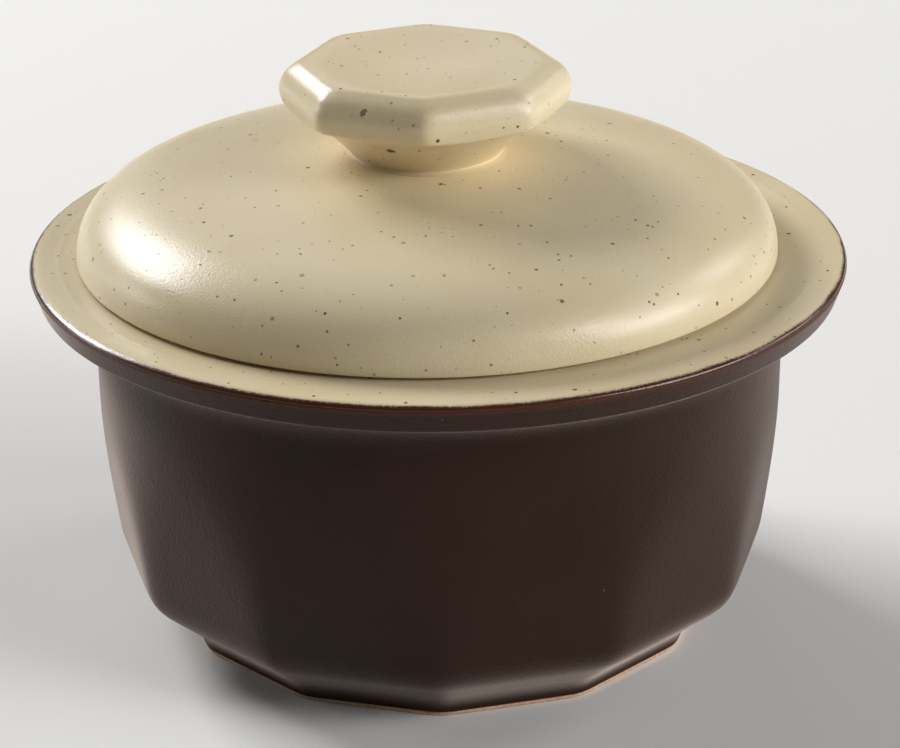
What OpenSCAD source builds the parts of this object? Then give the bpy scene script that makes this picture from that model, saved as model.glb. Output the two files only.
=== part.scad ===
// Covered butter dish: a round stoneware pot that turns twelve-sided towards its foot,
// with a broad out-turned rim and a loose domed lid with an eight-sided knob.
// Millimetres, +Z up, the foot stands on Z = 0, the front of the dish faces -Y.

/* [Pot] */
// Diameter across the outer edge of the rim
rim_d = 150; // [135:0.5:165]
// Height of the rim's outer top edge
rim_z = 71.7; // [66:0.1:80]
// Height of the upright brown band round the rim
band_h = 5.3; // [4:0.1:7]
// How far the foot of the band is drawn in from the rim's edge
band_draft = 1.25; // [0.5:0.05:2]
// How far the rim stands out from the wall under it
rim_overhang = 11.4; // [9:0.1:13]
// Height of the hollow curve between the wall and the band
cove_h = 8.4; // [6:0.1:11]
// How much the round wall draws in on the radius from its full width down to the bottom edge
wall_draw = 1.9; // [1:0.1:3]
// Height at which the wall reaches its full width
wall_full_z = 44; // [38:1:50]

/* [Facets and foot] */
// Number of flat sides at the bottom of the pot
sides = 12; // [10:1:14]
// Height of the pot's bottom edge
bottom_edge_z = 12.2; // [10:0.2:14]
// How far the corners of the bottom edge lie in from the round wall
corner_in = 0.3; // [0.2:0.05:1]
// How far the corners between the flat sides are softened, measured inwards
corner_soft = 0.3; // [0.2:0.05:0.5]
// Height at which the flat sides have faded into the round wall
facet_top_z = 42; // [36:1:50]
// Width of the sloping underside, from the bottom edge's corners in to the foot's
underside_w = 11.1; // [8:0.1:14]
// Height of the foot's upright side
foot_h = 2.2; // [1.8:0.1:3]
// Width of the step where the sloping underside meets the foot
foot_step = 0.6; // [0.4:0.1:1]
// Height of the bare clay line at the bottom of the foot
bare_h = 1.0; // [0.6:0.1:1.4]
// How far the bare clay stands in from the glaze above it
bare_inset = 0.25; // [0.1:0.05:0.5]
// Width of the ring the dish stands on, from the foot's corners in to the recess
foot_rim_w = 7.3; // [5:0.1:10]
// Depth of the recess under the foot
recess_h = 2.6; // [1.5:0.1:3]

/* [Bowl and seat] */
// Width of the slightly raised lip, from the rim's edge in to the seat
lip_w = 9.3; // [8:0.1:11]
// How far the lip's crest lies in from the rim's edge
crest_in = 6.0; // [5:0.1:7]
// How far the lip's crest stands above the rim's edge
lip_crown = 0.2; // [0.1:0.05:0.5]
// How far the seat lies below the rim's edge
seat_drop = 0.2; // [0.1:0.05:0.6]
// Width of the flat seat the lid rests on
seat_w = 7.7; // [6.5:0.1:8.5]
// Height above the table at which the bowl's upright wall starts to close in
bowl_upright_z = 39.4; // [34:0.2:48]
// Thickness of the wall at the flats, just above the bottom edge
low_wall_t = 3.7; // [3.2:0.1:5]
// Height of the bowl's floor above the table
floor_z = 8; // [7.2:0.1:10]
// Height of the round turn from the bowl's wall to its floor
bowl_turn_h = 8; // [6:0.5:12]
// Width of the round turn from the bowl's wall to its floor
bowl_turn_w = 14; // [10:0.5:20]
// Thickness of the cream lining and rim cover
lining_t = 1.0; // [0.8:0.1:1.3]

/* [Lid] */
// How far the lid rests off centre on its seat, along X
lid_x = -2.0; // [-2.2:0.1:2.2]
// How much smaller the lid's widest line is than the seat, on the radius
lid_gap = 1.3; // [1:0.1:2]
// How far the land that rests on the seat lies in from the lid's widest line
land_in = 2.4; // [1.8:0.1:3]
// Height of the lid's widest line above the seat
lid_wide_h = 0.8; // [0.6:0.1:1.6]
// Height of the rounded shoulder above the widest line
shoulder_h = 13.1; // [11:0.1:14]
// Width of the rounded shoulder
shoulder_w = 15.9; // [14:0.1:17]
// Height of the dome above the shoulder, where the knob begins
dome_h = 4.6; // [3.5:0.1:6]
// Thickness of the lid at its middle
lid_t = 5; // [4:0.1:6]
// Room between the locating collar and the mouth of the pot, on the radius
collar_gap = 3.0; // [2.6:0.1:4]
// Thickness of the locating collar
collar_t = 4; // [3:0.1:5]
// Depth of the locating collar below the seat
collar_h = 5.8; // [4:0.1:8]

/* [Knob] */
// Number of flat sides of the knob
knob_sides = 8; // [6:1:10]
// Width across the knob's corners at its widest
knob_d = 54.6; // [50:0.2:58]
// Width across the knob's corners at its lower edge
knob_low_d = 52.4; // [49:0.2:53]
// Width across the knob's corners at its top edge
knob_top_d = 49.6; // [46:0.2:51]
// Narrowest diameter of the neck
neck_d = 27.6; // [24:0.1:30]
// Width of the round foot of the neck
neck_foot_w = 1.1; // [0.8:0.1:2]
// Height of the neck's flare from the dome up to the knob's lower edge
neck_h = 9.2; // [7:0.1:12]
// Height of the knob's side below its widest line
knob_low_h = 3.3; // [2.5:0.1:4.5]
// Height of the knob's side above its widest line
knob_high_h = 4.6; // [3.5:0.1:6]
// Width of the sloping edge round the knob's top
knob_edge_w = 1.9; // [1.2:0.1:2.2]
// Depth of the dish in the knob's top
dish_h = 2.2; // [1:0.1:2.5]
// Diameter of the dish in the knob's top
dish_d = 40; // [34:0.5:41]

/* [Hidden] */
$fn = 96;
// Rim and seat
rim_r = rim_d / 2;
rim_round = 0.9;
band_low_z = rim_z - band_h;
band_low_r = rim_r - band_draft;
band_round = 0.9;
cream_r = rim_r - 0.4;
cream_z = rim_z + 0.12;
crest_r = rim_r - crest_in;
crest_z = rim_z + lip_crown;
seat_r = rim_r - lip_w;
seat_z = rim_z - seat_drop;
mouth_r = seat_r - seat_w;
mouth_round = 0.9;
// Wall
wall_r = rim_r - rim_overhang;
wall_steps = 6;
cove_low_z = band_low_z - cove_h;
cove_rise = 2.1;
// Flat sides
half_turn = 180 / sides;
corner_r = wall_at(bottom_edge_z) - corner_in;
bottom_flat_r = corner_r * cos(half_turn);
facet_run = (wall_r - bottom_flat_r) / (facet_top_z - bottom_edge_z);
foot_r = corner_r - underside_w;
foot_flat_r = foot_r * cos(half_turn);
underside_run = (bottom_flat_r - foot_flat_r + foot_step) / (bottom_edge_z - foot_h);
recess_r = foot_r - foot_rim_w;
// Softened corners
soft_r = corner_r - corner_soft;
soft_z = bottom_edge_z - 0.4;
soft_run = facet_run / cos(half_turn);
soft_underside_run = underside_run / cos(half_turn);
// Cutting blocks, all larger than what they cut
cut_t = 40;
cut_l = 60;
cut_reach = 20;
cut_over = 4;
cut_low_z = foot_h - 2;
seam_turn = 8;
// Bowl
bowl_low_r = bottom_flat_r - low_wall_t;
bowl_turn_z = floor_z + bowl_turn_h;
bowl_lean = (mouth_r - bowl_low_r) / (bowl_upright_z - bowl_turn_z);
// Lid
lid_r = seat_r - lid_gap;
land_r = lid_r - land_in;
lid_wide_z = seat_z + lid_wide_h;
shoulder_r = lid_r - shoulder_w;
shoulder_z = lid_wide_z + shoulder_h;
dome_z = shoulder_z + dome_h;
neck_r = neck_d / 2;
neck_foot_r = neck_r + neck_foot_w;
dome_corner = [
    (shoulder_r + neck_foot_r) / 2,
    shoulder_z + 0.7 * dome_h
];
dome_slope = (dome_corner.y - shoulder_z) / (shoulder_r - dome_corner.x);
collar_r = mouth_r - collar_gap;
collar_in_r = collar_r - collar_t;
collar_round = 1.2;
hollow_r = collar_in_r - 1.8;
hollow_top_z = shoulder_z - 3;
// Knob
knob_low_z = dome_z + neck_h;
knob_wide_z = knob_low_z + knob_low_h;
knob_top_z = knob_wide_z + knob_high_h;
knob_flat = cos(180 / knob_sides);
knob_wide_flat_r = knob_d / 2 * knob_flat;
knob_low_flat_r = knob_low_d / 2 * knob_flat;
knob_top_flat_r = knob_top_d / 2 * knob_flat;
knob_low_tilt = atan((knob_wide_flat_r - knob_low_flat_r) / knob_low_h);
knob_top_tilt = atan((knob_wide_flat_r - knob_top_flat_r) / knob_high_h);
knob_edge_flat_r = knob_top_flat_r - knob_edge_w;
knob_edge_tilt = 62;
knob_blank_r = knob_d / 2 + 1;
neck_waist_z = dome_z + 0.055 * neck_h;
flare_corner = [neck_r + 5.3, dome_z + 0.73 * neck_h];
flare_r = knob_low_d / 2 - 3.4;
flare_z = knob_low_z - 0.85;
dish_r = dish_d / 2;
dish_z = knob_top_z - dish_h;
// Colours
brown = [0.20, 0.13, 0.10];
cream = [0.90, 0.83, 0.66];
clay = [0.86, 0.74, 0.62];

// Radius of the round wall at a height
function wall_at(z) = wall_r - wall_draw * pow((wall_full_z - z) / (wall_full_z - bottom_edge_z), 2);

// Points of a curve that leaves point a towards a corner point and ends at point b, without a itself
function bend(a, corner, b, steps = 6) = [
    for (i = [1 : steps])
        let (t = i / steps)
        pow(1 - t, 2) * a + 2 * t * (1 - t) * corner + pow(t, 2) * b
];

// Points of a level start that eases down from point a to a level end at point b, without a itself
function ease(a, b) =
    let (
        middle = (a + b) / 2,
        quarter = [(b.x - a.x) / 4, 0]
    )
    concat(bend(a, a + quarter, middle, 4), bend(middle, b - quarter, b, 4));

function reversed(list) = [for (i = [len(list) - 1 : -1 : 0]) list[i]];

// A line at a depth under the cream surface, from the rim's edge to the middle of the bowl's floor
function cream_line(depth) =
    let (
        edge = [cream_r, cream_z],
        crest = [crest_r, crest_z - depth],
        seat = [seat_r, seat_z - depth],
        seat_end = [mouth_r + depth + mouth_round, seat_z - depth],
        mouth = [mouth_r + depth, seat_z - depth - mouth_round],
        upright_end = [mouth_r + depth, bowl_upright_z],
        turn = [bowl_low_r + depth, bowl_turn_z],
        turn_corner = [bowl_low_r + depth - bowl_lean * (bowl_turn_h + depth), floor_z - depth],
        floor_edge = [bowl_low_r - bowl_turn_w, floor_z - depth]
    )
    concat(
        [edge],
        bend(edge, [(edge.x + crest.x) / 2, crest.y], crest, 4),
        ease(crest, seat),
        [seat_end],
        bend(seat_end, [mouth.x, seat_end.y], mouth, 3),
        [upright_end, turn],
        bend(turn, turn_corner, floor_edge),
        [[0, floor_z - depth]]
    );

// The brown outside, from the bottom of the blank to the rim's edge
function body_outside() =
    let (
        cove_low = [wall_r, cove_low_z],
        band_in = [band_low_r - band_round, band_low_z - 0.2],
        band_low = [band_low_r, band_low_z + 0.6 * band_round],
        rim_side = [rim_r, rim_z - rim_round]
    )
    concat(
        [[0, bare_h], [wall_at(bottom_edge_z), bare_h]],
        [for (i = [0 : wall_steps])
            let (z = bottom_edge_z + i / wall_steps * (wall_full_z - bottom_edge_z))
            [wall_at(z), z]],
        [cove_low],
        bend(cove_low, [wall_r, band_in.y - cove_rise], band_in),
        bend(band_in, [band_low_r - 0.1, band_low_z], band_low, 3),
        [rim_side],
        bend(rim_side, [rim_r, rim_z - 0.2], [cream_r + 0.15, rim_z], 3)
    );

// Blocks that cut off what lies outside a ring of flats, leaning by a tilt
module flat_cut(count, flat_r, z, tilt) {
    for (i = [0 : count - 1])
        rotate([0, 0, -90 + (i + 0.5) * 360 / count])
            translate([flat_r, 0, z])
                rotate([0, tilt, 0])
                    translate([0, -cut_l / 2, -cut_reach])
                        cube([cut_t, cut_l, 2 * cut_reach]);
}

// Prisms that cut an outline, drawn as distance from the middle against height, at each side or corner
module side_cut(count, shift, outline) {
    for (i = [0 : count - 1])
        rotate([0, 0, -90 + (i + shift) * 360 / count])
            rotate([90, 0, 0])
                linear_extrude(height = cut_l, center = true)
                    polygon(outline);
}

// The bare clay line the dish stands on
module foot_ring() {
    color(clay)
        difference() {
            rotate([0, 0, -90])
                cylinder(r = foot_r - bare_inset, h = bare_h, $fn = sides);
            cylinder(r = recess_r, h = 4 * bare_h, center = true);
        }
}

// The brown glazed pot: foot, sloping underside, flat sides, round wall and rim
module pot_wall() {
    color(brown)
        difference() {
            union() {
                difference() {
                    rotate([0, 0, seam_turn])
                        rotate_extrude()
                            polygon(concat(body_outside(), cream_line(lining_t)));
                    side_cut(sides, 0.5, [
                        [foot_flat_r - foot_step - (foot_h - cut_low_z) * underside_run, cut_low_z],
                        [bottom_flat_r, bottom_edge_z],
                        [wall_r + cut_over * facet_run, facet_top_z + cut_over],
                        [wall_r + cut_t, facet_top_z + cut_over],
                        [wall_r + cut_t, cut_low_z]
                    ]);
                    side_cut(sides, 0, [
                        [soft_r - (soft_z - cut_low_z) * soft_underside_run, cut_low_z],
                        [soft_r, soft_z],
                        [soft_r + cut_reach * soft_run, bottom_edge_z + cut_reach],
                        [wall_r + cut_t, bottom_edge_z + cut_reach],
                        [wall_r + cut_t, cut_low_z]
                    ]);
                }
                translate([0, 0, bare_h])
                    rotate([0, 0, -90])
                        cylinder(r = foot_r, h = foot_h - bare_h, $fn = sides);
            }
            cylinder(r = recess_r, h = 2 * recess_h, center = true);
        }
}

// The cream glazed lining: bowl, seat and the top of the rim
module pot_lining() {
    color(cream)
        rotate_extrude()
            polygon(concat(cream_line(0), reversed([for (p = cream_line(lining_t)) if (p.x < cream_r) p])));
}

// The domed lid without its knob
module lid_dome() {
    land = [land_r, seat_z];
    wide = [lid_r, lid_wide_z];
    shoulder = [shoulder_r, shoulder_z];
    dome_end = [neck_foot_r, dome_z];
    hollow_end = [neck_foot_r, dome_z - lid_t];
    hollow_low = [hollow_r, seat_z + lid_wide_h / 2];
    color(cream)
        translate([lid_x, 0, 0])
            rotate_extrude()
                polygon(concat(
                    [[hollow_r, seat_z], land],
                    bend(land, [lid_r, (land.y + wide.y) / 2], wide, 5),
                    bend(wide, [lid_r, shoulder_z - dome_slope * shoulder_w], shoulder, 10),
                    bend(shoulder, dome_corner, dome_end, 8),
                    [[0, dome_z], [0, dome_z - lid_t], hollow_end],
                    bend(hollow_end, [hollow_r, hollow_top_z], hollow_low, 8)
                ));
}

// The plain ring under the lid that keeps it in the mouth
module lid_collar() {
    color(cream)
        translate([lid_x, 0, seat_z - collar_h])
            rotate_extrude()
                polygon([
                    [collar_in_r + collar_round, 0],
                    [collar_r - collar_round, 0],
                    [collar_r, collar_round],
                    [collar_r, collar_h],
                    [collar_in_r, collar_h],
                    [collar_in_r, collar_round]
                ]);
}

// The eight-sided dished knob on its flaring neck
module lid_knob() {
    neck_foot = [neck_foot_r, dome_z];
    waist = [neck_r, neck_waist_z];
    flare = [flare_r, flare_z];
    dish_edge = [dish_r, knob_top_z];
    color(cream)
        translate([lid_x, 0, 0])
            difference() {
                rotate([0, 0, seam_turn])
                    rotate_extrude()
                        polygon(concat(
                            [[0, dome_z], neck_foot],
                            bend(neck_foot, [neck_r, dome_z + 0.1], waist, 4),
                            bend(waist, flare_corner, flare),
                            [
                                [knob_blank_r, knob_low_z + 0.6],
                                [knob_blank_r, knob_top_z],
                                dish_edge
                            ],
                            bend(dish_edge, [dish_r / 2, dish_z], [0, dish_z])
                        ));
                flat_cut(knob_sides, knob_wide_flat_r, knob_wide_z, knob_low_tilt);
                flat_cut(knob_sides, knob_wide_flat_r, knob_wide_z, -knob_top_tilt);
                flat_cut(knob_sides, knob_edge_flat_r, knob_top_z, -knob_edge_tilt);
            }
}

foot_ring();
pot_wall();
pot_lining();
lid_dome();
lid_collar();
lid_knob();
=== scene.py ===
"""Looks of the covered butter dish: glazed stoneware pot with a cream lining and a loose cream lid."""

import math

import bmesh
import bpy
from mathutils import Matrix, Vector


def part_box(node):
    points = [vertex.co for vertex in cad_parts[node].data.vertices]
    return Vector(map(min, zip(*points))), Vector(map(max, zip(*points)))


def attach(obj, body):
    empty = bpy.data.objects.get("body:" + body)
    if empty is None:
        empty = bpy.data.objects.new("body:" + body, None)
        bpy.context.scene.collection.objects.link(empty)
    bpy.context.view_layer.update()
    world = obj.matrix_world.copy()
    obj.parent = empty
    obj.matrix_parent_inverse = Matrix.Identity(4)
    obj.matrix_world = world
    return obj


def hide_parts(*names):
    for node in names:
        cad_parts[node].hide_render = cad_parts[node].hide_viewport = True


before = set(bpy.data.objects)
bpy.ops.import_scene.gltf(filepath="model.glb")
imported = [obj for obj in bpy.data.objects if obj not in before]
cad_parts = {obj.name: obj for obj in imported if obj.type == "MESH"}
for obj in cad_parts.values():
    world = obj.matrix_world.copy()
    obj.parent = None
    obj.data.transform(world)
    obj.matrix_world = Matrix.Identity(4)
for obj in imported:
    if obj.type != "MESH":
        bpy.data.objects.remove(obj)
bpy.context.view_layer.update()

# Sizes are in millimetres, and those that the CAD parts hold are read from model.glb
MM = 0.001


def box_mm(node):
    """Lowest and highest corner of a CAD node in millimetres."""
    low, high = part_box(node)
    return low / MM, high / MM


pot_high = box_mm("pot_wall")[1]
lining_low = box_mm("pot_lining")[0]
foot_high = box_mm("foot_ring")[1]
dome_low, dome_high = box_mm("lid_dome")
collar_low, collar_high = box_mm("lid_collar")
knob_low, knob_high = box_mm("lid_knob")

# Pot
RIM_R = pot_high.x
CREAM_Z = pot_high.z
RIM_Z = CREAM_Z - 0.12
CREAM_R = RIM_R - 0.8
RIM_EDGE = (RIM_R - 0.1, RIM_Z - 1.0)
LIP_ROUND_W = 2.3
LIP_Z = RIM_Z - 0.03
RIDGE_R = RIM_R - 5.4
RIDGE_W = 0.9
RIDGE_H = 0.03
RIDGE_Z = RIM_Z
BAND_H = 5.3
BAND_DRAFT = 1.25
BAND_ROUND = 0.9
BAND_ROUND_RISE = 0.6 * BAND_ROUND
BAND_UNDERCUT = 0.2
BAND_CORNER_IN = 0.1
RIM_SIDE_ROUND = 0.3
RIM_TOP_IN = 0.05
WALL_R = RIM_R - 11.4
WALL_DRAW = 1.9
WALL_FULL_Z = 44.0
COVE_H = 8.4
COVE_RISE = 2.1
SIDES = 12
EDGE_Z = 12.2
EDGE_CORNER_R = WALL_R - WALL_DRAW - 0.3
FACET_TOP_Z = 42.0
EDGE_ROUND = 3.6
EDGE_ROUND_BELOW = 0.7 * EDGE_ROUND
CORNER_HARDNESS = 110
FOOT_H = 2.35
FOOT_STEP = 0.6
HOLLOW_H = 3.4
BARE_H = foot_high.z
BARE_INSET = 0.25
FOOT_R = foot_high.x + BARE_INSET
RECESS_R = FOOT_R - 7.3
RECESS_H = 2.6
RECESS_ROUND_W = 1.0
RECESS_ROUND_H = 0.8
FOOT_WEAR = 0.35

# Lining
SEAT_Z = dome_low.z
SEAT_R = RIM_R - 11.5
MOUTH_R = RIM_R - 17.0
MOUTH_ROUND = 0.9
BOWL_UPRIGHT_Z = 39.4
BOWL_LOW_R = EDGE_CORNER_R * math.cos(math.pi / SIDES) - 3.7
BOWL_TURN_W = 14.0
FLOOR_Z = lining_low.z + 1.0
BOWL_TURN_Z = FLOOR_Z + 8.0
LINING_T = 1.0
GLAZE_ROOM = 0.15

# Lid
LID_X = (dome_low.x + dome_high.x) / 2
LID_R = (dome_high.x - dome_low.x) / 2
LAND_R = LID_R - 2.4
LID_WIDE_Z = SEAT_Z + 0.8
SHOULDER_R = LID_R - 15.9
SHOULDER_Z = LID_WIDE_Z + 13.1
DOME_Z = dome_high.z
LID_T = 5.0
COLLAR_R = (collar_high.x - collar_low.x) / 2
COLLAR_IN_R = COLLAR_R - 4.0
COLLAR_ROUND = 1.2
HOLLOW_R = COLLAR_IN_R - 1.8
HOLLOW_CORNER_Z = SHOULDER_Z - 3.0
DOME_FULLNESS = 0.7
NOTCH = (LAND_R + 0.15, LID_WIDE_Z + 0.1)
LID_EDGE_W = 0.35
LID_EDGE_Z = LID_WIDE_Z - 0.08

# Knob
KNOB_SIDES = 8
KNOB_R = (knob_high.x - knob_low.x) / 2
KNOB_LOW_R = KNOB_R - 1.1
KNOB_TOP_R = KNOB_R - 2.5
KNOB_TOP_Z = knob_high.z
KNOB_WIDE_Z = KNOB_TOP_Z - 4.6
KNOB_LOW_Z = KNOB_WIDE_Z - 3.3
KNOB_EDGE_W = 1.9
KNOB_EDGE_TILT = math.radians(62)
KNOB_HARDNESS = 46
NECK_R = 13.8
NECK_FOOT_R = NECK_R + 1.1
NECK_FOOT_CORNER_Z = DOME_Z + 0.1
NECK_WAIST_Z = DOME_Z + 0.5
# Height below which the painted shade under the knob is at its strongest
NECK_PAINTED_SHADE_Z = DOME_Z + 1.0
FLARE = (KNOB_LOW_R - 3.4, KNOB_LOW_Z - 0.85)
FLARE_CORNER = (NECK_R + 5.3, DOME_Z + 6.7)
UNDERSIDE_SLOPE = 0.264
DISH_R = 20.0
DISH_H = 2.2
DISH_EDGE_R = DISH_R - 1.0
DISH_FULLNESS = 1.3
LEAST_FACING = 0.05


def bend(a, corner, b, steps):
    """Points of a curve that leaves a towards a corner and ends at b, without a itself."""
    points = []
    for i in range(1, steps + 1):
        t = i / steps
        share_a = (1 - t) ** 2
        share_corner = 2 * t * (1 - t)
        share_b = t * t
        r = share_a * a[0] + share_corner * corner[0] + share_b * b[0]
        z = share_a * a[1] + share_corner * corner[1] + share_b * b[1]
        points.append((r, z))
    return points


def line(a, b, steps):
    """Points of a straight stretch from a to b, without a itself."""
    middle = ((a[0] + b[0]) / 2, (a[1] + b[1]) / 2)
    return bend(a, middle, b, steps)


def soft_least(values, hardness):
    """The least of some lengths, rounded off where two of them are near each other."""
    least = min(values)
    total = sum((least / value) ** hardness for value in values)
    return least * total ** (-1 / hardness)


# Above 1, points lie closer together near the corners
CORNER_CROWDING = 1.6


def side_angles(sides, steps):
    """Angles round a many-sided piece, closer together near its corners, with a corner at the front."""
    half = math.pi / sides
    angles = []
    for side in range(sides):
        middle = -math.pi / 2 + (2 * side + 1) * half
        for step in range(steps):
            place = 2 * step / steps - 1
            turn = 1 - (1 - abs(place)) ** CORNER_CROWDING
            angles.append(middle + math.copysign(turn * half, place))
    return angles


def from_flat(angle, sides):
    """The turn from the middle of the nearest flat side, and from the middle of the next nearest."""
    step = 2 * math.pi / sides
    first = -math.pi / 2 + step / 2
    turn = (angle - first + step / 2) % step - step / 2
    return turn, step - abs(turn)


ROUND_STEPS = 256
ROUND_ANGLES = [2 * math.pi * i / ROUND_STEPS for i in range(ROUND_STEPS)]
POT_ANGLES = side_angles(SIDES, 24)
KNOB_ANGLES = side_angles(KNOB_SIDES, 28)


def round_ring(r, z, angles, middle_x=0.0):
    """A ring of points, or one point on the axis."""
    if r == 0:
        return [(middle_x, 0.0, z)]
    return [(middle_x + r * math.cos(a), r * math.sin(a), z) for a in angles]


def add_piece(name, rings, body, node, material, loop=False):
    """Skins rings of points into one closed smooth mesh that stands for a CAD node."""
    mesh = bpy.data.meshes.new(name)
    shape = bmesh.new()
    made = []
    for ring in rings:
        made.append([shape.verts.new(Vector(point) * MM) for point in ring])
    pairs = list(zip(made, made[1:]))
    if loop:
        pairs.append((made[-1], made[0]))
    for lower, upper in pairs:
        count = max(len(lower), len(upper))
        for i in range(count):
            j = (i + 1) % count
            low_side = [lower[i % len(lower)], lower[j % len(lower)]]
            high_side = [upper[j % len(upper)], upper[i % len(upper)]]
            shape.faces.new(list(dict.fromkeys(low_side + high_side)))
    bmesh.ops.recalc_face_normals(shape, faces=shape.faces)
    for face in shape.faces:
        face.smooth = True
    shape.to_mesh(mesh)
    shape.free()
    piece = bpy.data.objects.new(name, mesh)
    bpy.context.scene.collection.objects.link(piece)
    mesh.materials.append(material)
    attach(piece, body)
    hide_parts(node)
    return piece


class Paint:
    """A material's node tree, with short calls for the nodes that the finishes share."""

    def __init__(self, name):
        self.material = bpy.data.materials.new(name)
        self.material.use_nodes = True
        self.tree = self.material.node_tree
        self.shader = self.tree.nodes["Principled BSDF"]
        self.place = self.tree.nodes.new("ShaderNodeTexCoord").outputs["Object"]

    def wire(self, socket, value):
        """Links a value that comes from a node, or sets a plain one."""
        if isinstance(value, bpy.types.NodeSocket):
            self.tree.links.new(value, socket)
        else:
            socket.default_value = value

    def math(self, operation, a, b=0.0):
        node = self.tree.nodes.new("ShaderNodeMath")
        node.operation = operation
        self.wire(node.inputs[0], a)
        self.wire(node.inputs[1], b)
        return node.outputs[0]

    def scaled(self, value, factor, start):
        """A value times a factor, added to a start."""
        total = self.math("MULTIPLY_ADD", value, factor)
        total.node.inputs[2].default_value = start
        return total

    def fade(self, value, low, high):
        """0 below low and 1 above high, or the other way round where low is the greater."""
        node = self.tree.nodes.new("ShaderNodeMapRange")
        node.interpolation_type = "SMOOTHSTEP"
        self.wire(node.inputs["Value"], value)
        self.wire(node.inputs["From Min"], low)
        self.wire(node.inputs["From Max"], high)
        return node.outputs["Result"]

    def noise(self, size, detail=2.0):
        """Cloudy variation from 0 to 1 with features of a size in millimetres."""
        node = self.tree.nodes.new("ShaderNodeTexNoise")
        self.wire(node.inputs["Vector"], self.place)
        node.inputs["Scale"].default_value = 1 / (size * MM)
        node.inputs["Detail"].default_value = detail
        return node.outputs["Fac"]

    def mix(self, share, a, b):
        node = self.tree.nodes.new("ShaderNodeMix")
        node.data_type = "RGBA"
        self.wire(node.inputs["Factor"], share)
        self.wire(node.inputs[6], a)
        self.wire(node.inputs[7], b)
        return node.outputs[2]

    def specks(self, gap, radius, share):
        """Round spots of up to a radius, one in a cell of a gap's width, in a share of the cells."""
        cells = self.tree.nodes.new("ShaderNodeTexVoronoi")
        self.wire(cells.inputs["Vector"], self.place)
        cells.inputs["Scale"].default_value = 1 / (gap * MM)
        chance = self.tree.nodes.new("ShaderNodeSeparateColor")
        self.wire(chance.inputs[0], cells.outputs["Color"])
        widest = radius / gap
        reach = self.scaled(chance.outputs["Green"], (1 - LEAST_SPECK) * widest, LEAST_SPECK * widest)
        inner = self.math("MULTIPLY", reach, SPECK_CORE)
        spot = self.fade(cells.outputs["Distance"], reach, inner)
        kept = self.math("LESS_THAN", chance.outputs["Red"], share)
        strength = self.scaled(chance.outputs["Blue"], 1 - PALEST_SPECK, PALEST_SPECK)
        return self.math("MULTIPLY", self.math("MULTIPLY", spot, kept), strength)

    def axis(self, name):
        """One coordinate of the surface in millimetres."""
        node = self.tree.nodes.new("ShaderNodeSeparateXYZ")
        self.wire(node.inputs[0], self.place)
        return self.math("DIVIDE", node.outputs[name], MM)

    def from_middle(self):
        """Distance from the pot's upright axis in millimetres."""
        flat = self.tree.nodes.new("ShaderNodeVectorMath")
        flat.operation = "MULTIPLY"
        self.wire(flat.inputs[0], self.place)
        flat.inputs[1].default_value = (1 / MM, 1 / MM, 0.0)
        length = self.tree.nodes.new("ShaderNodeVectorMath")
        length.operation = "LENGTH"
        self.wire(length.inputs[0], flat.outputs[0])
        return length.outputs["Value"]

    def near(self, point, radius):
        """1 at a point given in millimetres, fading with a ragged edge to 0 at a radius."""
        gap = self.tree.nodes.new("ShaderNodeVectorMath")
        gap.operation = "DISTANCE"
        self.wire(gap.inputs[0], self.place)
        gap.inputs[1].default_value = Vector(point) * MM
        ragged = self.scaled(self.noise(PIT_RAGGED * radius), radius, -0.5 * radius)
        distance = self.math("ADD", self.math("DIVIDE", gap.outputs["Value"], MM), ragged)
        return self.fade(distance, radius, PIT_CORE * radius)

    def bump(self, height):
        """Relief from a height in millimetres."""
        node = self.tree.nodes.new("ShaderNodeBump")
        node.inputs["Distance"].default_value = MM
        self.wire(node.inputs["Height"], height)
        self.tree.links.new(node.outputs["Normal"], self.shader.inputs["Normal"])

    def finish(self, colour, roughness):
        self.wire(self.shader.inputs["Base Color"], colour)
        self.wire(self.shader.inputs["Roughness"], roughness)
        return self.material


# Colours as linear red, green, blue and alpha
CREAM = (0.76, 0.635, 0.405, 1.0)
# Painted shade: a darker, warmer cream for the crease where the knob's neck meets the lid
CREAM_PAINTED_SHADE = (0.74, 0.58, 0.33, 1.0)
CREAM_PALE = (0.79, 0.68, 0.46, 1.0)
SPECK_DARK = (0.085, 0.022, 0.003, 1.0)
SPECK_TAN = (0.36, 0.23, 0.10, 1.0)
BROWN = (0.025, 0.0105, 0.0062, 1.0)
BROWN_RED = (0.032, 0.0120, 0.0065, 1.0)
BROWN_EDGE = (0.080, 0.027, 0.013, 1.0)
BROWN_SHEEN = (1.0, 0.84, 0.75, 1.0)
PINHOLE = (0.30, 0.24, 0.19, 1.0)
CLAY = (0.66, 0.45, 0.30, 1.0)
CLAY_DARK = (0.50, 0.31, 0.19, 1.0)

# Specks: width of a cell and greatest radius in millimetres, and the share of cells that hold one
FAINT_SPECKS = (1.7, 0.24, 0.5)
SMALL_SPECKS = (2.2, 0.36, 0.7)
MIDDLE_SPECKS = (3.6, 0.50, 0.65)
LARGE_SPECKS = (6.0, 0.62, 0.5)
PINHOLES = (9, 0.33, 0.3)

# Shares of a radius: the least speck, the full-coloured cores, and the grain of a pit's ragged edge
LEAST_SPECK = 0.4
SPECK_CORE = 0.6
PIT_CORE = 0.55
PIT_RAGGED = 0.5

# Clouds of colour: size in millimetres, and the stretch of the noise over which they come in
CLOUD_SIZE = 38
CLOUD_FADE = (0.35, 0.68)
BROWN_CLOUD_SIZE = 30
BROWN_CLOUD_FADE = (0.35, 0.7)
SAND_FADE = (0.3, 0.7)

# Shares of a second colour: of the palest speck, and of the others where they are strongest
PALEST_SPECK = 0.4
# The painted shade's share where it is strongest
PAINTED_SHADE_SHARE = 0.5
FAINT_SHARE = 0.5
PINHOLE_SHARE = 0.7

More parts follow.
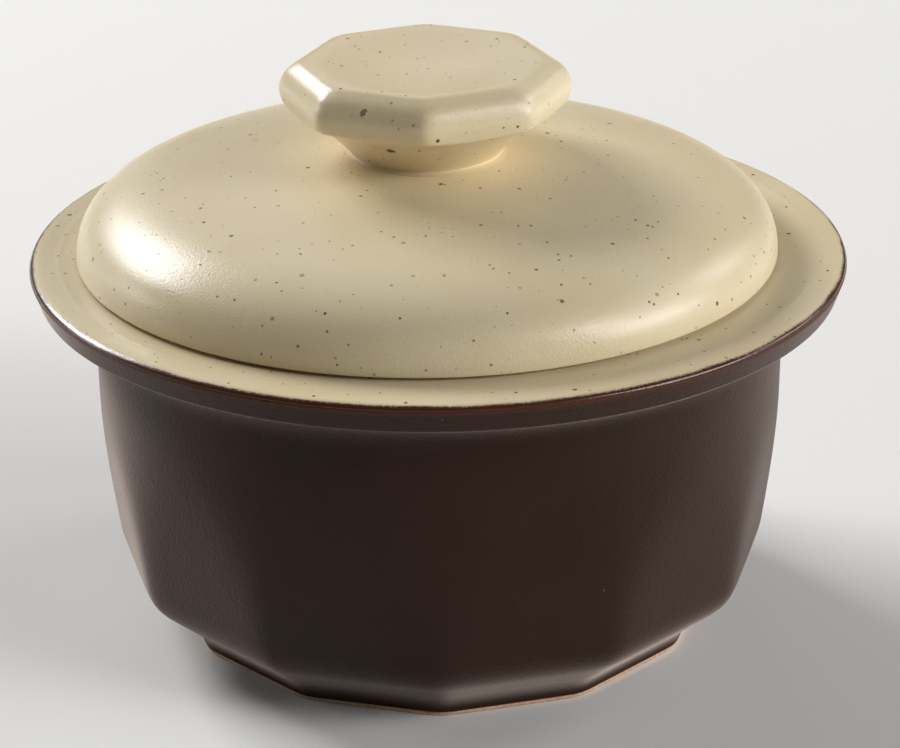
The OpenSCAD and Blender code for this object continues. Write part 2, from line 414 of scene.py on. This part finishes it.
# Edges between finishes: size and width of their raggedness, and where they begin and end, in millimetres
FRINGE_FINE_SIZE = 0.5
FRINGE_FINE_W = 0.6
FRINGE_BROAD_SIZE = 8
FRINGE_BROAD_W = 0.7
FRINGE_FADE = (CREAM_R + 0.35, CREAM_R + 1.0)
EDGE_GLOSS_FADE = (CREAM_R - 1.2, CREAM_R + 0.2)
RED_EDGE_SIZE = 1.0
RED_EDGE_W = 0.9
RED_EDGE_FADE = (RIM_Z - 1.6, RIM_Z - 0.6)
DRY_FADE = (EDGE_Z + 4, EDGE_Z - 3)

# Relief of glazes and clay: sizes, heights and depths in millimetres
PEEL_SIZE = 0.45
PEEL_H = 0.045
WAVE_SIZE = 9
WAVE_H = 0.03
SPECK_DEPTH = 0.02
PIT_DEPTH = 0.35
GRAIN_SIZE = 0.6
GRAIN_H = 0.08
BROWN_WAVE_SIZE = 7
PINHOLE_DEPTH = 0.03
SAND_SIZE = 0.6
SAND_H = 0.08

# Gloss of glazes and clay
CREAM_ROUGHNESS = 0.30
CLOUD_ROUGHNESS = 0.05
EDGE_GLOSS = 0.12
BROWN_ROUGHNESS = 0.40
GRAIN_ROUGHNESS = 0.12
DRY_ROUGHNESS = 0.34
BROWN_SPECULAR = 0.12
BROWN_SHEEN_WEIGHT = 0.6
BROWN_SHEEN_ROUGHNESS = 0.38
CLAY_ROUGHNESS = 0.75
SAND_ROUGHNESS = 0.15


def cream_glaze(name, pits=(), fringe=False, recess=None):
    """Satin cream glaze with iron specks, and where asked bare pits, a brown outer edge and a painted shade
    that darkens and warms the cream towards the bottom of a span of heights.
    """
    paint = Paint(name)
    cloud = paint.fade(paint.noise(CLOUD_SIZE, 3), *CLOUD_FADE)
    colour = paint.mix(cloud, CREAM, CREAM_PALE)
    if recess:
        # Painted shade: strongest at the bottom of the span and gone at its top
        recess_low, recess_high = recess
        painted_shade = paint.fade(paint.axis("Z"), recess_high, recess_low)
        colour = paint.mix(paint.math("MULTIPLY", painted_shade, PAINTED_SHADE_SHARE), colour, CREAM_PAINTED_SHADE)
    faint = paint.specks(*FAINT_SPECKS)
    colour = paint.mix(paint.math("MULTIPLY", faint, FAINT_SHARE), colour, SPECK_TAN)
    specks = paint.math("MAXIMUM", paint.specks(*SMALL_SPECKS), paint.specks(*MIDDLE_SPECKS))
    specks = paint.math("MAXIMUM", specks, paint.specks(*LARGE_SPECKS))
    colour = paint.mix(specks, colour, SPECK_DARK)
    peel = paint.noise(PEEL_SIZE, 2)
    wave = paint.noise(WAVE_SIZE, 1)
    height = paint.math("MULTIPLY", peel, PEEL_H)
    height = paint.math("ADD", height, paint.math("MULTIPLY", wave, WAVE_H))
    height = paint.math("SUBTRACT", height, paint.math("MULTIPLY", specks, SPECK_DEPTH))
    for point, radius, shade in pits:
        pit = paint.near(point, radius)
        colour = paint.mix(pit, colour, shade)
        height = paint.math("SUBTRACT", height, paint.math("MULTIPLY", pit, PIT_DEPTH))
    roughness = paint.scaled(cloud, CLOUD_ROUGHNESS, CREAM_ROUGHNESS)
    if fringe:
        fine = paint.math("MULTIPLY", paint.noise(FRINGE_FINE_SIZE, 3), FRINGE_FINE_W)
        broad = paint.math("MULTIPLY", paint.noise(FRINGE_BROAD_SIZE, 2), FRINGE_BROAD_W)
        reach = paint.math("ADD", paint.math("ADD", paint.from_middle(), fine), broad)
        brown = paint.fade(reach, *FRINGE_FADE)
        colour = paint.mix(brown, colour, BROWN_EDGE)
        gloss = paint.fade(paint.from_middle(), *EDGE_GLOSS_FADE)
        roughness = paint.math("SUBTRACT", roughness, paint.math("MULTIPLY", gloss, EDGE_GLOSS))
    paint.bump(height)
    return paint.finish(colour, roughness)


def brown_glaze(name):
    """Very dark satin brown glaze, redder in clouds and at the rim's edge, drier low down, with pinholes."""
    paint = Paint(name)
    cloud = paint.fade(paint.noise(BROWN_CLOUD_SIZE, 3), *BROWN_CLOUD_FADE)
    colour = paint.mix(cloud, BROWN, BROWN_RED)
    grain = paint.noise(GRAIN_SIZE, 3)
    ragged = paint.math("MULTIPLY", paint.noise(RED_EDGE_SIZE, 3), RED_EDGE_W)
    edge = paint.fade(paint.math("ADD", paint.axis("Z"), ragged), *RED_EDGE_FADE)
    colour = paint.mix(edge, colour, BROWN_EDGE)
    holes = paint.specks(*PINHOLES)
    colour = paint.mix(paint.math("MULTIPLY", holes, PINHOLE_SHARE), colour, PINHOLE)
    height = paint.math("MULTIPLY", grain, GRAIN_H)
    height = paint.math("ADD", height, paint.math("MULTIPLY", paint.noise(BROWN_WAVE_SIZE, 1), WAVE_H))
    height = paint.math("SUBTRACT", height, paint.math("MULTIPLY", holes, PINHOLE_DEPTH))
    dry = paint.fade(paint.axis("Z"), *DRY_FADE)
    roughness = paint.scaled(grain, GRAIN_ROUGHNESS, BROWN_ROUGHNESS)
    roughness = paint.math("ADD", roughness, paint.math("MULTIPLY", dry, DRY_ROUGHNESS))
    paint.bump(height)
    paint.shader.inputs["Specular IOR Level"].default_value = BROWN_SPECULAR
    paint.shader.inputs["Sheen Weight"].default_value = BROWN_SHEEN_WEIGHT
    paint.shader.inputs["Sheen Roughness"].default_value = BROWN_SHEEN_ROUGHNESS
    paint.shader.inputs["Sheen Tint"].default_value = BROWN_SHEEN
    return paint.finish(colour, roughness)


def bare_clay(name):
    """Dry buff clay with a sandy grain."""
    paint = Paint(name)
    grain = paint.noise(SAND_SIZE, 4)
    colour = paint.mix(paint.fade(grain, *SAND_FADE), CLAY_DARK, CLAY)
    paint.bump(paint.math("MULTIPLY", grain, SAND_H))
    roughness = paint.scaled(grain, SAND_ROUGHNESS, CLAY_ROUGHNESS)
    return paint.finish(colour, roughness)


def wall_at(z):
    """Radius of the pot's round wall at a height."""
    if z >= WALL_FULL_Z:
        return WALL_R
    return WALL_R - WALL_DRAW * ((WALL_FULL_Z - z) / (WALL_FULL_Z - EDGE_Z)) ** 2


def cream_line(depth):
    """A line at a depth under the cream surface, from the rim's edge to the middle of the bowl's floor."""
    lip = (RIM_R - LIP_ROUND_W, LIP_Z - depth)
    ridge_out = (RIDGE_R + RIDGE_W / 2, RIDGE_Z - depth)
    ridge_in = (RIDGE_R - RIDGE_W / 2, RIDGE_Z - depth)
    seat = (SEAT_R, SEAT_Z - depth)
    seat_end = (MOUTH_R + depth + MOUTH_ROUND, SEAT_Z - depth)
    mouth = (MOUTH_R + depth, SEAT_Z - depth - MOUTH_ROUND)
    upright_end = (MOUTH_R + depth, BOWL_UPRIGHT_Z)
    turn = (BOWL_LOW_R + depth, BOWL_TURN_Z)
    lean = (MOUTH_R - BOWL_LOW_R) / (BOWL_UPRIGHT_Z - BOWL_TURN_Z)
    turn_corner = (turn[0] - lean * (BOWL_TURN_Z - FLOOR_Z + depth), FLOOR_Z - depth)
    floor_edge = (BOWL_LOW_R - BOWL_TURN_W, FLOOR_Z - depth)
    points = [RIM_EDGE]
    points += bend(RIM_EDGE, (RIM_EDGE[0], lip[1]), lip, 12)
    points += line(lip, ridge_out, 4)
    points += bend(ridge_out, (RIDGE_R, RIDGE_Z - depth + 2 * RIDGE_H), ridge_in, 6)
    points += line(ridge_in, seat, 6)
    points += line(seat, seat_end, 6)
    points += bend(seat_end, (mouth[0], seat_end[1]), mouth, 6)
    points += line(mouth, upright_end, 8)
    points += line(upright_end, turn, 8)
    points += bend(turn, turn_corner, floor_edge, 14)
    points += line(floor_edge, (0, FLOOR_Z - depth), 10)
    return points


def add_lining():
    profile = list(reversed(cream_line(LINING_T)))[:-1] + cream_line(0)
    rings = [round_ring(r, z, ROUND_ANGLES) for r, z in profile]
    material = cream_glaze("cream_glaze_lining", fringe=True)
    return add_piece("bowl_lining", rings, "pot", "pot_lining", material)


def flat_profile():
    """Distance from the axis to the flat sides against height, from the foot up to the cove."""
    corner_cos = math.cos(math.pi / SIDES)
    foot = (FOOT_R * corner_cos, BARE_H)
    slope_low = (foot[0] - FOOT_STEP, FOOT_H)
    edge = (EDGE_CORNER_R * corner_cos, EDGE_Z)
    run = (WALL_R - edge[0]) / (FACET_TOP_Z - EDGE_Z)
    slope_run = (edge[0] - slope_low[0]) / (edge[1] - slope_low[1])
    edge_in = (edge[0] - EDGE_ROUND_BELOW * slope_run, edge[1] - EDGE_ROUND_BELOW)
    edge_out = (edge[0] + EDGE_ROUND * run, edge[1] + EDGE_ROUND)
    hollow_top = (slope_low[0] + HOLLOW_H * slope_run, slope_low[1] + HOLLOW_H)
    points = [foot]
    points += bend(foot, slope_low, hollow_top, 14)
    points += line(hollow_top, edge_in, 8)
    points += bend(edge_in, edge, edge_out, 8)
    wall_top_z = RIM_Z - BAND_H - COVE_H
    points += line(edge_out, (edge[0] + run * (wall_top_z - EDGE_Z), wall_top_z), 30)
    return points


def faceted_ring(flat_r, round_r, z):
    """A ring of the pot that is flat-sided or round, whichever lies further in."""
    ring = []
    for angle in POT_ANGLES:
        turn, next_turn = from_flat(angle, SIDES)
        lengths = [flat_r / math.cos(turn), flat_r / math.cos(next_turn), round_r]
        r = soft_least(lengths, CORNER_HARDNESS)
        ring.append((r * math.cos(angle), r * math.sin(angle), z))
    return ring


def rim_profile():
    """The round outside above the wall: hollow cove, band and rounded top edge."""
    band_z = RIM_Z - BAND_H
    cove_low = (WALL_R, band_z - COVE_H)
    band_in = (RIM_R - BAND_DRAFT - BAND_ROUND, band_z - BAND_UNDERCUT)
    band_low = (RIM_R - BAND_DRAFT, band_z + BAND_ROUND_RISE)
    rim_side = (RIM_R, RIM_EDGE[1] - RIM_SIDE_ROUND)
    rim_top = (RIM_EDGE[0] - RIM_TOP_IN, RIM_EDGE[1])
    points = bend(cove_low, (WALL_R, band_in[1] - COVE_RISE), band_in, 14)
    points += bend(band_in, (RIM_R - BAND_DRAFT - BAND_CORNER_IN, band_z), band_low, 6)
    points += line(band_low, rim_side, 8)
    points += bend(rim_side, (RIM_R, RIM_EDGE[1]), rim_top, 4)
    return points


def add_pot():
    recess = [(0, RECESS_H), (RECESS_R / 2, RECESS_H), (RECESS_R - RECESS_ROUND_W, RECESS_H)]
    recess += [(RECESS_R, RECESS_H - RECESS_ROUND_H), (RECESS_R, BARE_H)]
    rings = [round_ring(r, z, POT_ANGLES) for r, z in recess]
    for flat_r, z in flat_profile():
        rings.append(faceted_ring(flat_r, wall_at(max(z, EDGE_Z)), z))
    rings += [round_ring(r, z, POT_ANGLES) for r, z in rim_profile()]
    # Under the lining, from halfway along the rim's rounded edge inwards
    edge_points = 6
    inner = cream_line(LINING_T + GLAZE_ROOM)[edge_points:]
    rings += [round_ring(r, z, POT_ANGLES) for r, z in inner]
    return add_piece("pot_body", rings, "pot", "pot_wall", brown_glaze("brown_glaze_body"))


def add_foot():
    """The bare ring under the foot, with worn lower edges."""
    flat_r = (FOOT_R - BARE_INSET) * math.cos(math.pi / SIDES)
    worn_middle = 0.3 * FOOT_WEAR
    rings = []
    for inset, z in ((0, BARE_H), (0, FOOT_WEAR), (worn_middle, worn_middle), (FOOT_WEAR, 0)):
        rings.append(faceted_ring(flat_r - inset, FOOT_R, z))
    for gap, z in ((FOOT_WEAR, 0), (worn_middle, worn_middle), (0, BARE_H)):
        rings.append(round_ring(RECESS_R + gap, z, POT_ANGLES))
    material = bare_clay("bare_clay_foot")
    return add_piece("foot_edge", rings, "pot", "foot_ring", material, loop=True)


def add_lid():
    hollow_end = (NECK_FOOT_R, DOME_Z - LID_T)
    hollow_low = (HOLLOW_R, (SEAT_Z + LID_WIDE_Z) / 2)
    land = (LAND_R, SEAT_Z)
    under_edge = (LID_R - LID_EDGE_W, LID_EDGE_Z)
    wide = (LID_R, LID_WIDE_Z)
    shoulder = (SHOULDER_R, SHOULDER_Z)
    dome_h = DOME_Z - SHOULDER_Z
    dome_corner = ((SHOULDER_R + NECK_FOOT_R) / 2, SHOULDER_Z + DOME_FULLNESS * dome_h)
    slope = (dome_corner[1] - SHOULDER_Z) / (SHOULDER_R - dome_corner[0])
    shoulder_corner = (LID_R, SHOULDER_Z - slope * (LID_R - SHOULDER_R))
    dome_end = (NECK_FOOT_R, DOME_Z)
    profile = [(0, DOME_Z - LID_T), hollow_end]
    profile += bend(hollow_end, (HOLLOW_R, HOLLOW_CORNER_Z), hollow_low, 16)
    profile += line(hollow_low, (HOLLOW_R, SEAT_Z), 2)
    profile += line(profile[-1], land, 4)
    profile += line(land, NOTCH, 2)
    profile += line(NOTCH, under_edge, 6)
    profile += bend(under_edge, (LID_R, LID_EDGE_Z), wide, 8)
    profile += bend(wide, shoulder_corner, shoulder, 32)
    profile += bend(shoulder, dome_corner, dome_end, 24)
    profile += line(dome_end, (0, DOME_Z), 4)
    rings = [round_ring(r, z, ROUND_ANGLES, LID_X) for r, z in profile]
    return add_piece("lid_shell", rings, "lid", "lid_dome", cream_glaze("cream_glaze_lid"))


def add_collar():
    low_z = collar_low.z
    profile = [(COLLAR_R, SEAT_Z)]
    profile += line(profile[-1], (COLLAR_R, low_z + COLLAR_ROUND), 3)
    profile += bend(profile[-1], (COLLAR_R, low_z), (COLLAR_R - COLLAR_ROUND, low_z), 5)
    profile += line(profile[-1], (COLLAR_IN_R + COLLAR_ROUND, low_z), 2)
    profile += bend(profile[-1], (COLLAR_IN_R, low_z), (COLLAR_IN_R, low_z + COLLAR_ROUND), 5)
    profile += line(profile[-1], (COLLAR_IN_R, SEAT_Z), 3)
    rings = [round_ring(r, z, ROUND_ANGLES, LID_X) for r, z in profile]
    material = cream_glaze("cream_glaze_collar")
    return add_piece("collar_ring", rings, "lid_collar", "lid_collar", material, loop=True)


def knob_planes():
    """The faces that bound a flat side of the knob: tilt of the normal, and distance from the middle."""
    side_cos = math.cos(math.pi / KNOB_SIDES)
    wide = KNOB_R * side_cos
    low_tilt = -math.atan((KNOB_R - KNOB_LOW_R) * side_cos / (KNOB_WIDE_Z - KNOB_LOW_Z))
    high_tilt = math.atan((KNOB_R - KNOB_TOP_R) * side_cos / (KNOB_TOP_Z - KNOB_WIDE_Z))
    edge_r = KNOB_TOP_R * side_cos - KNOB_EDGE_W
    edge_distance = edge_r * math.cos(KNOB_EDGE_TILT) + (KNOB_TOP_Z - KNOB_WIDE_Z) * math.sin(KNOB_EDGE_TILT)
    faces = [(low_tilt, wide * math.cos(low_tilt)), (high_tilt, wide * math.cos(high_tilt))]
    faces.append((KNOB_EDGE_TILT, edge_distance))
    return faces


def knob_reach(angle, rise, faces):
    """Distance from the knob's middle to its surface, in a direction."""
    turn, next_turn = from_flat(angle, KNOB_SIDES)
    lengths = []
    for tilt, distance in faces:
        for side_turn in (turn, next_turn):
            facing = math.cos(tilt) * math.cos(rise) * math.cos(side_turn) + math.sin(tilt) * math.sin(rise)
            if facing > LEAST_FACING:
                lengths.append(distance / facing)
    under_tilt = math.atan(UNDERSIDE_SLOPE)
    under_distance = FLARE[0] * math.sin(under_tilt) + (KNOB_WIDE_Z - FLARE[1]) * math.cos(under_tilt)
    under_facing = math.sin(under_tilt) * math.cos(rise) - math.cos(under_tilt) * math.sin(rise)
    if under_facing > LEAST_FACING:
        lengths.append(under_distance / under_facing)
    top_facing = math.sin(rise)
    if top_facing > LEAST_FACING:
        lengths.append((KNOB_TOP_Z - KNOB_WIDE_Z) / top_facing)
    return soft_least(lengths, KNOB_HARDNESS)


def dish_depth(r):
    """How far the knob's top is hollowed at a distance from its axis."""
    share = max(0.0, 1 - (r / DISH_R) ** 2)
    return DISH_H * share ** DISH_FULLNESS


def knob_ring(rise, faces):
    ring = []
    for angle in KNOB_ANGLES:
        reach = knob_reach(angle, rise, faces)
        r = reach * math.cos(rise)
        z = KNOB_WIDE_Z + reach * math.sin(rise) - (dish_depth(r) if rise > 0 else 0)
        ring.append((LID_X + r * math.cos(angle), r * math.sin(angle), z))
    return ring


# Pits in the knob's glaze: place and radius in millimetres, and colour
KNOB_PITS = (
    ((-12.7, -21.9, 104.3), 0.9, SPECK_TAN),
    ((-8.1, -18.3, 96.1), 1.0, SPECK_DARK),
)


def add_knob():
    neck_foot = (NECK_FOOT_R, DOME_Z)
    waist = (NECK_R, NECK_WAIST_Z)
    profile = [(0, DOME_Z), neck_foot]
    profile += bend(neck_foot, (NECK_R, NECK_FOOT_CORNER_Z), waist, 10)
    profile += bend(waist, FLARE_CORNER, FLARE, 20)
    rings = [round_ring(r, z, KNOB_ANGLES, LID_X) for r, z in profile]
    faces = knob_planes()
    low_rise = math.atan2(FLARE[1] - KNOB_WIDE_Z, FLARE[0])
    top_rise = math.atan2(KNOB_TOP_Z - KNOB_WIDE_Z, DISH_EDGE_R)
    side_steps = 56
    for step in range(1, side_steps + 1):
        rings.append(knob_ring(low_rise + (top_rise - low_rise) * step / side_steps, faces))
    top_steps = 24
    for step in range(1, top_steps):
        r = DISH_EDGE_R * (1 - step / top_steps)
        rings.append(knob_ring(math.atan2(KNOB_TOP_Z - KNOB_WIDE_Z, r), faces))
    rings.append(round_ring(0, KNOB_TOP_Z - DISH_H, KNOB_ANGLES, LID_X))
    # The neck's foot, under the knob, gets painted shade
    material = cream_glaze("cream_glaze_knob", pits=KNOB_PITS, recess=(NECK_PAINTED_SHADE_Z, KNOB_LOW_Z))
    return add_piece("knob_and_neck", rings, "lid", "lid_knob", material)


# Photograph's camera: angles in degrees, lengths in millimetres
CAMERA_PLACE = (1.965, -533.2, 273.7)
CAMERA_PITCH = 23.18
CAMERA_ROLL = -0.565
CAMERA_LENS = 123.4
CAMERA_SENSOR_W = 36.0
CAMERA_NEAREST = 10.0


def add_camera():
    data = bpy.data.cameras.new("camera")
    data.lens = CAMERA_LENS
    data.sensor_width = CAMERA_SENSOR_W
    data.clip_start = CAMERA_NEAREST * MM
    camera = bpy.data.objects.new("camera", data)
    bpy.context.scene.collection.objects.link(camera)
    lean = Matrix.Rotation(math.radians(90 - CAMERA_PITCH), 4, "X")
    roll = Matrix.Rotation(math.radians(CAMERA_ROLL), 4, "Z")
    camera.matrix_world = Matrix.Translation(Vector(CAMERA_PLACE) * MM) @ lean @ roll
    bpy.context.scene.camera = camera


# Studio: lengths in metres here
FLOOR_SIZE = 8.0
FLOOR_COLOUR = (0.86, 0.85, 0.83, 1.0)
FLOOR_ROUGHNESS = 0.7
FLOOR_SPECULAR = 0.2
WORLD_COLOUR = (1.0, 0.99, 0.97, 1.0)
WORLD_STRENGTH = 0.02
AIM = Vector((0.0, 0.0, 0.07))
LAMP_DISTANCE = 3.0

# Lamps: name, azimuth and elevation in degrees, width and height in metres, power in watts
LAMPS = (
    ("key_left", -134, 33, 1.6, 0.8, 82),
    ("side_left", -108, 12, 0.9, 0.7, 12),
    ("fill_right", 75, 15, 1.95, 0.7, 50),
    ("fill_right_high", 60, 32, 1.2, 0.7, 24),
    ("back_right", 118, 26, 1.05, 0.9, 14),
    ("back_card", -160, 29, 2.4, 1.5, 8),
)


def add_floor():
    mesh = bpy.data.meshes.new("floor")
    half = FLOOR_SIZE / 2
    corners = [(-half, -half, 0), (half, -half, 0), (half, half, 0), (-half, half, 0)]
    mesh.from_pydata(corners, [], [(0, 1, 2, 3)])
    floor = bpy.data.objects.new("floor", mesh)
    bpy.context.scene.collection.objects.link(floor)
    material = bpy.data.materials.new("floor_card")
    material.use_nodes = True
    shader = material.node_tree.nodes["Principled BSDF"]
    shader.inputs["Base Color"].default_value = FLOOR_COLOUR
    shader.inputs["Roughness"].default_value = FLOOR_ROUGHNESS
    shader.inputs["Specular IOR Level"].default_value = FLOOR_SPECULAR
    mesh.materials.append(material)


def add_softbox(name, azimuth, elevation, width, height, power):
    """A rectangular lamp that faces the dish. Azimuth 0 is at the camera's side, 90 to the right."""
    turn = math.radians(azimuth)
    rise = math.radians(elevation)
    out = Vector((math.sin(turn) * math.cos(rise), -math.cos(turn) * math.cos(rise), math.sin(rise)))
    data = bpy.data.lights.new(name, "AREA")
    data.shape = "RECTANGLE"
    data.size = width
    data.size_y = height
    data.energy = power
    lamp = bpy.data.objects.new(name, data)
    bpy.context.scene.collection.objects.link(lamp)
    place = Matrix.Translation(AIM + out * LAMP_DISTANCE)
    lamp.matrix_world = place @ (-out).to_track_quat("-Z", "Y").to_matrix().to_4x4()


def add_world():
    world = bpy.data.worlds.new("studio")
    bpy.context.scene.world = world
    world.use_nodes = True
    background = world.node_tree.nodes["Background"]
    background.inputs["Color"].default_value = WORLD_COLOUR
    background.inputs["Strength"].default_value = WORLD_STRENGTH


add_foot()
add_pot()
add_lining()
add_lid()
add_collar()
add_knob()
add_camera()
add_floor()
add_world()
for lamp in LAMPS:
    add_softbox(*lamp)
bpy.context.scene.view_settings.view_transform = "Standard"
